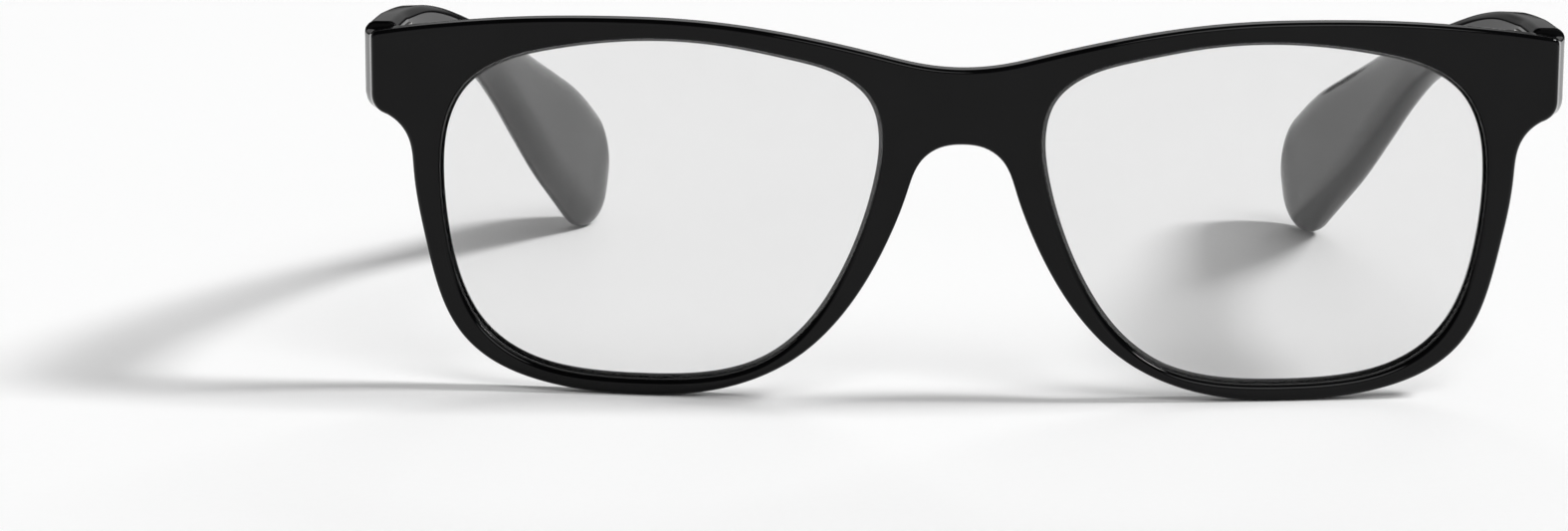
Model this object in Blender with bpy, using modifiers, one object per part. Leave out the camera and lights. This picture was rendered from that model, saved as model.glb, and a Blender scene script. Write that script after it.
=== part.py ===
# Reading glasses: a one-piece black plastic front that holds two lenses and carries its nose pads,
# and two temples that fold on screwed hinges. +X is the wearer's left, -Y the way the wearer looks.
# The glasses stand on z = 0 on the bottoms of both rims and on the tips of both temples.
import math

import bmesh
import bpy
import numpy as np
from mathutils import Matrix, Vector

# Lens openings and the rims round them, measured along the curved face
lens_width = 0.0525
lens_height = 0.0398
bridge_width = 0.0197
rim_bottom = 0.0024
rim_nose = 0.0041
rim_side = 0.0038
brow_height = 0.0029

# Bridge and end pieces
bridge_drop = 0.0055
bridge_height = 0.00885
end_reach = 0.0052
end_height = 0.0092
end_depth = 0.0041
end_flare = 0.00125
flare_depth = 0.0032
end_land = 0.0040

# Thickness, bow and softened edges of the front
front_thickness = 0.0036
face_radius = 0.300
edge_round = 0.00045

# Nose pads, moulded on the back of the rims
pad_depth = 0.0030
pad_width = 0.0034

# Lenses: a meniscus of about +2 dioptres, held by a groove in the rim
lens_front_radius = 0.132
lens_back_radius = 0.280
lens_edge = 0.0005
lens_bite = 0.0005

# Temples
temple_reach = 0.1275
temple_thickness = 0.0040
temple_root = 0.0096
temple_rise = 0.0006
temple_neck = 0.0065
temple_tip = 0.0128
temple_inset = 0.0162
temple_round = 0.0012

# Core wires inside the temples
core_thickness = 0.0008
core_height = 0.0022
core_offset = 0.0003
core_start = 0.0020

# Hinges: five knuckles on one screw, two flat leaves, pins sunk in the plastic
knuckle_radius = 0.0015
knuckle_height = 0.0012
knuckle_count = 5
leaf_thickness = 0.0009
leaf_sink = 0.0006
front_leaf_length = 0.0046
temple_leaf_length = 0.0098
web_thickness = 0.0014
pin_radius = 0.0005
pin_length = 0.0012
pin_spread = 0.0050
screw_radius = 0.0006
screw_head_radius = 0.0011
screw_head_height = 0.0005
screw_slot_width = 0.0003
screw_slot_depth = 0.0002

# Clearances and the overrun of cutters
play = 0.0003
screw_play = 0.0002
overrun = 0.0010

# Where the brow line meets the end piece, as a share of the bridge's drop
brow_end_share = 0.57

# Places that follow from the sizes
front_height = rim_bottom + lens_height + brow_height
bridge_top = front_height - bridge_drop
arch_top = bridge_top - bridge_height
end_top = bridge_top + brow_end_share * bridge_drop
end_bottom = end_top - end_height
root_z = end_top - end_height / 2 + temple_rise
half_face = bridge_width / 2 + lens_width + rim_side + end_reach
lens_u = (bridge_width + lens_width) / 2
lens_v = rim_bottom + lens_height / 2
lens_turn = lens_u / face_radius
end_turn = half_face / face_radius
corner_x = face_radius * math.sin(end_turn)
corner_back = face_radius * (1 - math.cos(end_turn))
outer_x = corner_x + end_flare
butt_back = corner_back + end_depth
depth = butt_back + play + temple_reach
front_y = -depth / 2
butt_y = front_y + butt_back
temple_inner_x = outer_x - temple_thickness
axis_x = temple_inner_x - knuckle_radius - play
axis_y = butt_y + play / 2
hinge_height = knuckle_count * knuckle_height + (knuckle_count - 1) * play

# Where the middle of the lens groove lies above and below the lens, as a share of the front's thickness
groove_share = 0.498

# Outlines, as shares of the sizes above: (outwards, upwards)
lens_shares = (
    (0.54, 1.000), (0.73, 0.972), (0.86, 0.926), (0.945, 0.850), (0.988, 0.740), (1.0, 0.600), (0.988, 0.420),
    (0.956, 0.255), (0.895, 0.125), (0.800, 0.045), (0.66, 0.006), (0.52, 0.0), (0.39, 0.010), (0.27, 0.055),
    (0.175, 0.148), (0.098, 0.290), (0.042, 0.455), (0.009, 0.610), (0.0, 0.730), (0.022, 0.835), (0.085, 0.905),
    (0.20, 0.952), (0.36, 0.990),
)
brow_shares = (
    (0.07, 0.08), (0.14, 0.285), (0.22, 0.52), (0.31, 0.74), (0.41, 0.91), (0.50, 0.985),
    (0.58, 1.0), (0.67, 0.985), (0.76, 0.93), (0.85, 0.83), (0.93, 0.71),
)
rim_shares = (
    (1.0, 0.585), (0.993, 0.507), (0.979, 0.414), (0.960, 0.308), (0.935, 0.214), (0.897, 0.137), (0.840, 0.077),
    (0.757, 0.033), (0.656, 0.008), (0.542, 0.0), (0.425, 0.010), (0.319, 0.046), (0.222, 0.115), (0.144, 0.215),
    (0.085, 0.330), (0.042, 0.445), (0.011, 0.555),
)
end_curve_shares = ((0.62, 0.10), (0.30, 0.27), (0.11, 0.49))
arch_shares = ((0.242, 0.22), (0.132, 0.045))
pad_shares = (0.04, 0.12, 0.28, 0.50, 0.72, 0.88, 0.96)
pad_low_share = 0.16
pad_high_share = 0.62

# Side view of a temple: (along its reach, drop to the tip, narrowing to the neck, widening to the tip)
temple_shares = (
    (0.0, 0.0, 0.0, 0.0), (0.09, -0.004, 0.02, 0.0), (0.18, 0.0, 0.16, 0.0), (0.26, 0.026, 0.42, 0.0),
    (0.345, 0.073, 0.68, 0.0), (0.43, 0.134, 0.89, 0.0), (0.51, 0.212, 0.99, 0.0), (0.595, 0.312, 1.0, 0.04),
    (0.677, 0.437, 1.0, 0.24), (0.76, 0.582, 1.0, 0.52), (0.842, 0.725, 1.0, 0.80), (0.925, 0.862, 1.0, 0.97),
    (1.0, 1.0, 1.0, 1.0),
)
straight_share = 0.08
inset_power = 1.25
core_end_share = 0.90

# How finely curves and the bow are followed
outline_error = 0.00003
strip_width = 0.0060
corner_steps = 3
turn_steps = 36


def new_collection(name):
    collection = bpy.data.collections.new(name)
    bpy.context.scene.collection.children.link(collection)
    return collection


def new_material(name, colour, roughness, metallic, transmission=0.0):
    material = bpy.data.materials.new(name)
    material.use_nodes = True
    shader = material.node_tree.nodes["Principled BSDF"]
    shader.inputs["Base Color"].default_value = (*colour, 1.0)
    shader.inputs["Roughness"].default_value = roughness
    shader.inputs["Metallic"].default_value = metallic
    shader.inputs["Transmission Weight"].default_value = transmission
    return material


for old in list(bpy.data.objects):
    bpy.data.objects.remove(old, do_unlink=True)

parts = new_collection("reading_glasses")
cutters = new_collection("cutters")
black_plastic = new_material("frame_plastic", (0.012, 0.012, 0.013), 0.12, 0.0)
clear_plastic = new_material("lens_plastic", (0.96, 0.97, 0.97), 0.02, 0.0, 1.0)
steel = new_material("hinge_metal", (0.62, 0.61, 0.60), 0.28, 1.0)
wire_steel = new_material("core_metal", (0.50, 0.50, 0.51), 0.35, 1.0)


def add_part(name, mesh, material):
    part = bpy.data.objects.new(name, mesh)
    parts.objects.link(part)
    mesh.materials.clear()
    mesh.materials.append(material)
    return part


def add_cutter(name, mesh):
    cutter = bpy.data.objects.new(name, mesh)
    cutters.objects.link(cutter)
    cutter.hide_render = True
    cutter.display_type = "WIRE"
    return cutter


def add_boolean(part, operation, cutter):
    modifier = part.modifiers.new(operation.lower(), "BOOLEAN")
    modifier.operation = operation
    modifier.solver = "EXACT"
    modifier.object = cutter


def baked_mesh(thing):
    graph = bpy.context.evaluated_depsgraph_get()
    graph.update()
    mesh = bpy.data.meshes.new_from_object(thing.evaluated_get(graph))
    return mesh


def mirrored(mesh, side):
    if side > 0:
        return mesh
    copy = mesh.copy()
    copy.transform(Matrix.Scale(-1, 4, (1, 0, 0)))
    copy.flip_normals()
    return copy


def smooth_path(points, closed):
    # A cubic spline through the points, with its slopes solved so that the curvature runs on
    points = np.array(points)
    count = len(points)
    gaps = np.linalg.norm(np.roll(points, -1, axis=0) - points, axis=1)
    matrix = np.zeros((count, count))
    right = np.zeros((count, 2))
    for i in range(count):
        before, after = gaps[i - 1], gaps[i]
        if not closed and i in (0, count - 1):
            j = 1 if i == 0 else count - 2
            span = gaps[min(i, j)]
            matrix[i, i], matrix[i, j] = 2, 1
            right[i] = 3 * (points[j] - points[i]) / (span if i == 0 else -span)
            continue
        following = (i + 1) % count
        rise_before = (points[i] - points[i - 1]) / before
        rise_after = (points[following] - points[i]) / after
        matrix[i, i - 1] += after
        matrix[i, i] += 2 * (before + after)
        matrix[i, following] += before
        right[i] = 3 * (after * rise_before + before * rise_after)
    slopes = np.linalg.solve(matrix, right)
    path = []
    for i in range(count if closed else count - 1):
        following = (i + 1) % count
        start, end = slopes[i], slopes[following]
        turn = abs(math.atan2(start[0] * end[1] - start[1] * end[0], start @ end))
        steps = max(1, math.ceil(math.sqrt(gaps[i] * turn / (8 * outline_error))))
        for k in range(steps):
            t = k / steps
            path.append(
                (1 + 2 * t) * (1 - t) ** 2 * points[i] + t * (1 - t) ** 2 * gaps[i] * slopes[i]
                + t * t * (3 - 2 * t) * points[following] + t * t * (t - 1) * gaps[i] * slopes[following]
            )
    if not closed:
        path.append(points[-1])
    return path


def grown(path, margin):
    # The closed path moved outwards by the margin; the path runs clockwise
    points = np.array(path)
    along = np.roll(points, -1, axis=0) - np.roll(points, 1, axis=0)
    along /= np.linalg.norm(along, axis=1)[:, None]
    return points + margin * np.column_stack((-along[:, 1], along[:, 0]))


def lens_outline(margin):
    # The lens opening about the middle of the lens, grown by the margin
    points = [((out - 0.5) * lens_width, (up - 0.5) * lens_height) for out, up in lens_shares]
    return grown(smooth_path(points, True), margin)


def front_outline(flare):
    # The outer edge of the whole front, clockwise from the left end's top corner
    reach = half_face + flare
    brow = [(out * half_face, bridge_top + up * bridge_drop) for out, up in brow_shares]
    brow.append((reach, end_top))
    brow = [(-u, v) for u, v in reversed(brow)] + [(0, bridge_top)] + brow
    rim_u = bridge_width / 2 - rim_nose
    rim_span = rim_nose + lens_width + rim_side
    rim_top = (rim_u + rim_shares[0][0] * rim_span, rim_shares[0][1] * front_height)
    below = [(reach, end_bottom)]
    for out, down in end_curve_shares:
        below.append((rim_top[0] + out * end_reach, end_bottom - down * (end_bottom - rim_top[1])))
    below += [(rim_u + out * rim_span, up * front_height) for out, up in rim_shares]
    below += [(out * bridge_width, arch_top - down * bridge_height) for out, down in arch_shares]
    below = below + [(0, arch_top)] + [(-u, v) for u, v in reversed(below)]
    return smooth_path(brow, False) + smooth_path(below, False)


def slab(loops, half_thickness, rounding):
    # A flat outline with holes, filled and extruded to both sides of z = 0, with softened edges
    curve = bpy.data.curves.new("outline", "CURVE")
    curve.dimensions = "2D"
    curve.fill_mode = "BOTH"
    curve.extrude = half_thickness - rounding
    curve.bevel_depth = rounding
    curve.bevel_resolution = 0
    curve.offset = -rounding
    for loop in loops:
        spline = curve.splines.new("POLY")
        spline.points.add(len(loop) - 1)
        for point, (x, y) in zip(spline.points, loop):
            point.co = (x, y, 0, 1)
        spline.use_cyclic_u = True
    holder = bpy.data.objects.new("outline", curve)
    cutters.objects.link(holder)
    mesh = baked_mesh(holder)
    bpy.data.objects.remove(holder, do_unlink=True)
    shape = bmesh.new()
    shape.from_mesh(mesh)
    bmesh.ops.remove_doubles(shape, verts=shape.verts, dist=rounding / 50 if rounding else play / 300)
    bmesh.ops.recalc_face_normals(shape, faces=shape.faces)
    shape.to_mesh(mesh)
    shape.free()
    return mesh


def in_strips(mesh):
    # The flat plate cut into upright strips that can bow, with the flat faces of each strip joined
    shape = bmesh.new()
    shape.from_mesh(mesh)
    half = max(vertex.co.x for vertex in shape.verts)
    count = math.ceil(2 * half / strip_width)
    for k in range(1, count):
        x = half * (2 * k / count - 1)
        cut = bmesh.ops.bisect_plane(
            shape, geom=shape.verts[:] + shape.edges[:] + shape.faces[:],
            dist=play / 6, plane_co=(x, 0, 0), plane_no=(1, 0, 0),
        )
        for item in cut["geom_cut"]:
            if isinstance(item, bmesh.types.BMEdge):
                item.seam = True
    bmesh.ops.dissolve_limit(
        shape, angle_limit=math.radians(1), verts=[], edges=shape.edges[:], delimit={"SEAM"},
    )
    bmesh.ops.triangulate(shape, faces=shape.faces[:])
    shape.to_mesh(mesh)
    shape.free()
    return mesh


def upright(mesh):
    # The slab's plane turned to stand up: its y becomes z, and its thickness runs along y
    mesh.transform(Matrix(((1, 0, 0, 0), (0, 0, 1, 0), (0, 1, 0, 0), (0, 0, 0, 1))))
    mesh.flip_normals()
    return mesh


def wrapped(along, up, back):
    # A place on the bowed front: along its face, up, and straight back from its front surface
    turn = along / face_radius
    return Vector((face_radius * math.sin(turn), front_y + face_radius * (1 - math.cos(turn)) + back, up))


def loft(rings):
    shape = bmesh.new()
    loops = [[shape.verts.new(point) for point in ring] for ring in rings]
    for first, second in zip(loops, loops[1:]):
        for k in range(len(first)):
            following = (k + 1) % len(first)
            shape.faces.new((first[k], first[following], second[following], second[k]))
    shape.faces.new(reversed(loops[0]))
    shape.faces.new(loops[-1])
    bmesh.ops.recalc_face_normals(shape, faces=shape.faces)
    mesh = bpy.data.meshes.new("loft")
    shape.to_mesh(mesh)
    shape.free()
    return mesh


def box_mesh(low, high):
    shape = bmesh.new()
    bmesh.ops.create_cube(shape, size=1)
    low, high = Vector(low), Vector(high)
    size = high - low
    bmesh.ops.scale(shape, vec=size, verts=shape.verts)
    bmesh.ops.translate(shape, vec=(low + high) / 2, verts=shape.verts)
    mesh = bpy.data.meshes.new("box")
    shape.to_mesh(mesh)
    shape.free()
    return mesh


def rod_mesh(start, end, radius, sides=16):
    start, end = Vector(start), Vector(end)
    shape = bmesh.new()
    bmesh.ops.create_cone(
        shape, cap_ends=True, segments=sides, radius1=radius, radius2=radius, depth=(end - start).length,
    )
    turn = Vector((0, 0, 1)).rotation_difference(end - start).to_matrix().to_4x4()
    bmesh.ops.transform(shape, matrix=Matrix.Translation((start + end) / 2) @ turn, verts=shape.verts)
    mesh = bpy.data.meshes.new("rod")
    shape.to_mesh(mesh)
    shape.free()
    return mesh


# Front plate: the outline with two lens openings, bowed round its upright axis
left_opening = [(lens_u + x, lens_v + y) for x, y in lens_outline(0)]
right_opening = [(-u, v) for u, v in left_opening]
plate = slab([front_outline(0), left_opening, right_opening], front_thickness / 2, edge_round)
plate = upright(in_strips(plate))
for vertex in plate.vertices:
    vertex.co = wrapped(vertex.co.x, vertex.co.z, vertex.co.y + front_thickness / 2)
front = add_part("front", plate, black_plastic)

# End pieces: the front's own outline carried straight back, kept only in the plan of the two blocks,
# with a seat for the hinge's front leaf cut into the back of each
end_mesh = upright(slab([front_outline(corner_x + end_flare - half_face)], butt_back, 0))
end_mesh.transform(Matrix.Translation((0, front_y, 0)))
seat_y = axis_y - knuckle_radius - play - leaf_thickness - play
seat_x = axis_x + knuckle_radius - front_leaf_length - play
plate_corner = wrapped(half_face, 0, edge_round)
plate_inside = wrapped(half_face - end_land, 0, front_thickness / 2)
leaf_seat = box_mesh(
    (seat_x, seat_y, root_z - hinge_height / 2 - play),
    (temple_inner_x, butt_y + overrun, root_z + hinge_height / 2 + play),
)
end_plan = [
    (plate_corner.x, plate_corner.y), (outer_x, plate_corner.y + flare_depth), (outer_x, butt_y),
    (temple_inner_x, butt_y), (plate_inside.x, plate_inside.y),
]
plan_mesh = slab([end_plan], (front_height + overrun - end_bottom) / 2, 0)
plan_mesh.transform(Matrix.Translation((0, 0, (front_height + overrun + end_bottom) / 2)))
for side in (1, -1):
    word = "left" if side > 0 else "right"
    block = add_cutter("end_block_" + word, end_mesh.copy())
    add_boolean(block, "INTERSECT", add_cutter("end_plan_" + word, mirrored(plan_mesh, side)))
    add_boolean(front, "UNION", block)
    add_boolean(front, "DIFFERENCE", add_cutter("leaf_seat_" + word, mirrored(leaf_seat, side)))

# Nose pads: a low ridge along the nose side of each rim, deepest in the middle
nose_path = [p for p in front_outline(0) if 0 < p[0] < lens_u and p[1] < front_height * pad_high_share]
nose_path = sorted((p for p in nose_path if p[1] > front_height * pad_low_share), key=lambda p: p[1])
nose_path = np.array(nose_path)
pad_rings = []
for share in pad_shares:
    up = nose_path[0, 1] + share * (nose_path[-1, 1] - nose_path[0, 1])
    edge = np.interp(up, nose_path[:, 1], nose_path[:, 0]) + edge_round
    swell = math.sin(math.pi * share)
    crest = front_thickness - edge_round + pad_depth * swell
    wide = pad_width * (1 + swell) / 2
    inside = front_thickness / 2
    section = (
        (edge, inside), (edge, front_thickness - edge_round), (edge + wide / 6, crest - edge_round * swell),
        (edge + wide / 3, crest), (edge + wide * 2 / 3, crest - pad_depth * swell / 3),
        (edge + wide, front_thickness - edge_round), (edge + wide, inside),
    )
    pad_rings.append([wrapped(u, up, back) for u, back in section])
pad_mesh = loft(pad_rings)
for side in (1, -1):
    word = "left" if side > 0 else "right"
    add_boolean(front, "UNION", add_cutter("nose_pad_" + word, mirrored(pad_mesh, side)))


def sag(radius, reach):
    return radius - math.sqrt(radius ** 2 - reach ** 2)


# The blank reaches past the lens, and its two curves and the lens's thin edge make its middle as thick
# as it is. The lens rises in front of the face until its edge lies at the groove's share of the front.
blank_reach = max(math.hypot(x, y) for x, y in lens_outline(lens_bite + play)) + overrun
lens_middle = lens_edge + sag(lens_front_radius, blank_reach) - sag(lens_back_radius, blank_reach)
front_sag = sag(lens_front_radius, lens_height / 2)
back_sag = lens_middle + sag(lens_back_radius, lens_height / 2)
lens_rise = (front_sag + back_sag) / 2 - groove_share * front_thickness


def lens_blank(margin):
    # A round meniscus blank, turned about its own axis, with its front to -y
    rings = 4
    profile = []
    for k in range(rings + 1):
        r = blank_reach * k / rings
        profile.append((r, margin - sag(lens_front_radius + margin, r)))
    for k in range(rings, -1, -1):
        r = blank_reach * k / rings
        profile.append((r, -lens_middle - margin - sag(lens_back_radius - margin, r)))
    mesh = bpy.data.meshes.new("lens_profile")
    mesh.from_pydata([(r, 0, z) for r, z in profile], [(k, k + 1) for k in range(len(profile) - 1)], [])
    holder = bpy.data.objects.new("lens_profile", mesh)
    cutters.objects.link(holder)
    screw = holder.modifiers.new("turn", "SCREW")
    screw.steps = turn_steps
    screw.render_steps = turn_steps
    screw.use_merge_vertices = True
    screw.merge_threshold = play / 100
    turned = baked_mesh(holder)
    bpy.data.objects.remove(holder, do_unlink=True)
    turned.transform(Matrix.Rotation(math.pi / 2, 4, "X"))
    return turned


def lens_place():
    # The lens stands in the middle of its opening, square to the bowed face there
    apex = wrapped(lens_u, lens_v, -lens_rise)
    return Matrix.Translation(apex) @ Matrix.Rotation(lens_turn, 4, "Z")


# Lenses, and the grooves that hold them
for side in (1, -1):
    word = "left" if side > 0 else "right"
    for margin in (0, play):
        blank = lens_blank(margin)
        edge = upright(slab([lens_outline(lens_bite + margin)], lens_height / 2, 0))
        blank.transform(lens_place())
        edge.transform(lens_place())
        edge_cutter = add_cutter(("groove_edge_" if margin else "lens_edge_") + word, mirrored(edge, side))
        if margin:
            groove = add_cutter("groove_" + word, mirrored(blank, side))
            add_boolean(groove, "INTERSECT", edge_cutter)
            add_boolean(front, "DIFFERENCE", groove)
        else:
            lens = add_part("lens_" + word, mirrored(blank, side), clear_plastic)
            add_boolean(lens, "INTERSECT", edge_cutter)

# Temple path: the middle of the temple in the side view, and its inset in plan
tip_radius = temple_tip / 2
path_reach = temple_reach - tip_radius
tip_end_steps = 6


def temple_station(share):
    table = np.array(temple_shares)
    drop = np.interp(share, table[:, 0], table[:, 1])
    neck = np.interp(share, table[:, 0], table[:, 2])
    tip = np.interp(share, table[:, 0], table[:, 3])
    inset = temple_inset * (max(0, share - straight_share) / (1 - straight_share)) ** inset_power
    place = Vector((
        outer_x - temple_thickness / 2 - inset, butt_y + play + share * path_reach,
        root_z - drop * (root_z - tip_radius),
    ))
    width = temple_root + (temple_neck - temple_root) * neck + (temple_tip - temple_neck) * tip
    return place, width


def temple_frames():
    shares = [row[0] for row in temple_shares]
    places = [temple_station(share)[0] for share in shares]
    widths = [temple_station(share)[1] for share in shares]
    ups = []
    for k in range(len(places)):
        ahead = places[min(k + 1, len(places) - 1)]
        behind = places[max(k - 1, 0)]
        run = ahead - behind
        run.x = 0
        run.normalize()
        up = Vector((0, -run.z, run.y)) if k else Vector((0, 0, 1))
        ups.append(up)
    return places, widths, ups


def rounded_section(place, up, thickness, width, radius):
    ring = []
    radius = min(radius, thickness / 2, width / 2)
    for corner in range(4):
        start = corner * math.pi / 2
        sx = 1 if corner in (0, 3) else -1
        sz = 1 if corner in (0, 1) else -1
        for k in range(corner_steps + 1):
            turn = start + k * math.pi / 2 / corner_steps
            across = sx * (thickness / 2 - radius) + radius * math.cos(turn)
            high = sz * (width / 2 - radius) + radius * math.sin(turn)
            ring.append(place + Vector((across, 0, 0)) + up * high)
    return ring


places, widths, ups = temple_frames()
temple_rings = [
    rounded_section(place, up, temple_thickness, width, temple_round)
    for place, width, up in zip(places, widths, ups)
]
along = Vector((0, ups[-1].z, -ups[-1].y))
drift = (places[-1].x - places[-2].x) / (places[-1].y - places[-2].y)
for k in range(1, tip_end_steps + 1):
    turn = math.pi / 2 * k / (tip_end_steps + 0.5)
    place = places[-1] + along * (tip_radius * math.sin(turn))
    place.x += drift * tip_radius * math.sin(turn)
    thin = temple_thickness - 2 * temple_round * (k / tip_end_steps) ** 4
    temple_rings.append(rounded_section(place, ups[-1], thin, temple_tip * math.cos(turn), temple_round))
temple_mesh = loft(temple_rings)

# Core wires: a flat strip along the middle of each temple, and the slot that it is pushed into
core_rings = []
slot_rings = []
core_limit = core_end_share * path_reach
for place, up in zip(places, ups):
    run = place.y - butt_y - play
    if run > core_limit:
        break
    middle = place + Vector((core_offset, 0, 0))
    ahead = Vector((0, up.z, -up.y))
    core_rings.append([
        middle + Vector((sx * core_thickness / 2, 0, 0)) + up * (sz * core_height / 2)
        for sx, sz in ((1, 1), (-1, 1), (-1, -1), (1, -1))
    ])
    slot_rings.append([
        middle + Vector((sx * (core_thickness / 2 + play), 0, 0)) + up * (sz * (core_height / 2 + play))
        for sx, sz in ((1, 1), (-1, 1), (-1, -1), (1, -1))
    ])
core_rings[0] = [point + Vector((0, core_start, 0)) for point in core_rings[0]]
slot_rings[0] = [point - Vector((0, overrun, 0)) for point in slot_rings[0]]
slot_rings[-1] = [point + ahead * play for point in slot_rings[-1]]
core_mesh = loft(core_rings)
slot_mesh = loft(slot_rings)

# Hinge leaves: a plate, knuckles on webs, and pins that go into the plastic
hinge_low = root_z - hinge_height / 2
hinge_high = root_z + hinge_height / 2
pitch = knuckle_height + play
pivot = Vector((axis_x, axis_y, root_z))
head_bottom = hinge_high + screw_play
screw_top = head_bottom + screw_head_height
front_plate_top = axis_y - knuckle_radius - play
temple_plate_face = temple_inner_x + leaf_sink - leaf_thickness
temple_plate_start = axis_y + knuckle_radius
temple_plate_end = temple_plate_start + temple_leaf_length
front_plate_x = axis_x + knuckle_radius - front_leaf_length
front_pin_x = front_plate_x + front_leaf_length / 3
temple_pin_y = (temple_plate_start + temple_plate_end) / 2
pin_heights = (root_z - pin_spread / 2, root_z + pin_spread / 2)

front_leaf_shapes = [
    box_mesh(
        (front_plate_x, front_plate_top - leaf_thickness, hinge_low),
        (axis_x + knuckle_radius, front_plate_top, hinge_high),
    ),
]
temple_leaf_shapes = [
    box_mesh(
        (temple_plate_face, temple_plate_start, hinge_low),
        (temple_plate_face + leaf_thickness, temple_plate_end, hinge_high),
    ),
]
for k in range(knuckle_count):
    low = hinge_low + k * pitch
    high = low + knuckle_height
    barrel = rod_mesh((axis_x, axis_y, low), (axis_x, axis_y, high), knuckle_radius)
    if k % 2 == 0:
        web = box_mesh(
            (axis_x - web_thickness / 2, front_plate_top - leaf_thickness / 2, low),
            (axis_x + web_thickness / 2, axis_y - screw_radius - screw_play * 2, high),
        )
        front_leaf_shapes += [barrel, web]
    else:
        web = box_mesh(
            (axis_x + screw_radius + screw_play * 2, axis_y + play, low),
            (temple_plate_face + leaf_thickness / 3, temple_plate_start + web_thickness / 2, high),
        )
        temple_leaf_shapes += [barrel, web]
front_pins = []
temple_pins = []
for up in pin_heights:
    front_pins.append((
        Vector((front_pin_x, front_plate_top - leaf_thickness / 2, up)),
        Vector((front_pin_x, front_plate_top - leaf_thickness - pin_length, up)),
    ))
    temple_pins.append((
        Vector((temple_plate_face + leaf_thickness / 2, temple_pin_y, up)),
        Vector((temple_plate_face + leaf_thickness + pin_length, temple_pin_y, up)),
    ))
screw_hole = rod_mesh(
    (axis_x, axis_y, hinge_low - overrun), (axis_x, axis_y, hinge_high + overrun), screw_radius + screw_play,
)
leaf_pocket = box_mesh(
    (temple_inner_x - overrun, temple_plate_start - play, hinge_low - play),
    (temple_plate_face + leaf_thickness + play, temple_plate_end + play, hinge_high + play),
)


def pin_hole(start, end):
    reach = end + (end - start).normalized() * play
    return rod_mesh(start, reach, pin_radius + play)


def add_leaf(name, shapes, pins, side):
    solids = [mirrored(mesh, side) for mesh in shapes + [rod_mesh(a, b, pin_radius) for a, b in pins]]
    leaf = add_part(name, solids[0], steel)
    for k, mesh in enumerate(solids[1:]):
        add_boolean(leaf, "UNION", add_cutter(f"{name}_piece_{k}", mesh))
    add_boolean(leaf, "DIFFERENCE", add_cutter(f"{name}_hole", mirrored(screw_hole, side)))
    return leaf


def screw_mesh():
    # A slotted screw: the head on top of the last knuckle, the shank through all five
    profile = (
        (0, screw_top), (screw_head_radius, screw_top), (screw_head_radius, head_bottom),
        (screw_radius, head_bottom), (screw_radius, hinge_low), (0, hinge_low),
    )
    mesh = bpy.data.meshes.new("screw_profile")
    mesh.from_pydata([(r, 0, z) for r, z in profile], [(k, k + 1) for k in range(len(profile) - 1)], [])
    holder = bpy.data.objects.new("screw_profile", mesh)
    cutters.objects.link(holder)
    turn = holder.modifiers.new("turn", "SCREW")
    turn.steps = turn_steps // 2
    turn.render_steps = turn_steps // 2
    turn.use_merge_vertices = True
    turn.merge_threshold = play / 100
    turned = baked_mesh(holder)
    bpy.data.objects.remove(holder, do_unlink=True)
    turned.transform(Matrix.Translation((axis_x, axis_y, 0)))
    return turned


screw_slot = box_mesh(
    (axis_x - screw_head_radius - overrun, axis_y - screw_slot_width / 2, screw_top - screw_slot_depth),
    (axis_x + screw_head_radius + overrun, axis_y + screw_slot_width / 2, screw_top + overrun),
)
screw_solid = screw_mesh()


def set_origin(part, place):
    part.data.transform(Matrix.Translation(-place))
    part.location = place


for side in (1, -1):
    word = "left" if side > 0 else "right"
    place = Vector((side * pivot.x, pivot.y, pivot.z))

    temple = add_part("temple_" + word, mirrored(temple_mesh.copy(), side), black_plastic)
    add_boolean(temple, "DIFFERENCE", add_cutter("core_slot_" + word, mirrored(slot_mesh, side)))
    add_boolean(temple, "DIFFERENCE", add_cutter("leaf_pocket_" + word, mirrored(leaf_pocket, side)))
    for k, (start, end) in enumerate(temple_pins):
        hole = add_cutter(f"temple_pin_hole_{word}_{k}", mirrored(pin_hole(start, end), side))
        add_boolean(temple, "DIFFERENCE", hole)
    for k, (start, end) in enumerate(front_pins):
        hole = add_cutter(f"front_pin_hole_{word}_{k}", mirrored(pin_hole(start, end), side))
        add_boolean(front, "DIFFERENCE", hole)

    core = add_part("temple_core_" + word, mirrored(core_mesh.copy(), side), wire_steel)
    add_leaf("hinge_front_leaf_" + word, front_leaf_shapes, front_pins, side)
    temple_leaf = add_leaf("hinge_temple_leaf_" + word, temple_leaf_shapes, temple_pins, side)
    screw = add_part("hinge_screw_" + word, mirrored(screw_solid.copy(), side), steel)
    add_boolean(screw, "DIFFERENCE", add_cutter("screw_slot_" + word, mirrored(screw_slot, side)))

    for piece in (temple, core, temple_leaf):
        piece.data = piece.data.copy()
        set_origin(piece, place)
    for piece in (core, temple_leaf):
        piece.parent = temple
        piece.matrix_parent_inverse = Matrix.Translation(-place)

for part in parts.objects:
    part.data.shade_smooth()
    part.data.set_sharp_from_angle(angle=math.radians(35))
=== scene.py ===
# Reading glasses with a one-piece black front, plus-power lenses and temples that fold inwards.
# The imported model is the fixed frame; each visible piece here is the finer form of one of its nodes.
import math

import bmesh
import bpy
import numpy as np
from mathutils import Matrix, Vector
from mathutils.geometry import delaunay_2d_cdt


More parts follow.
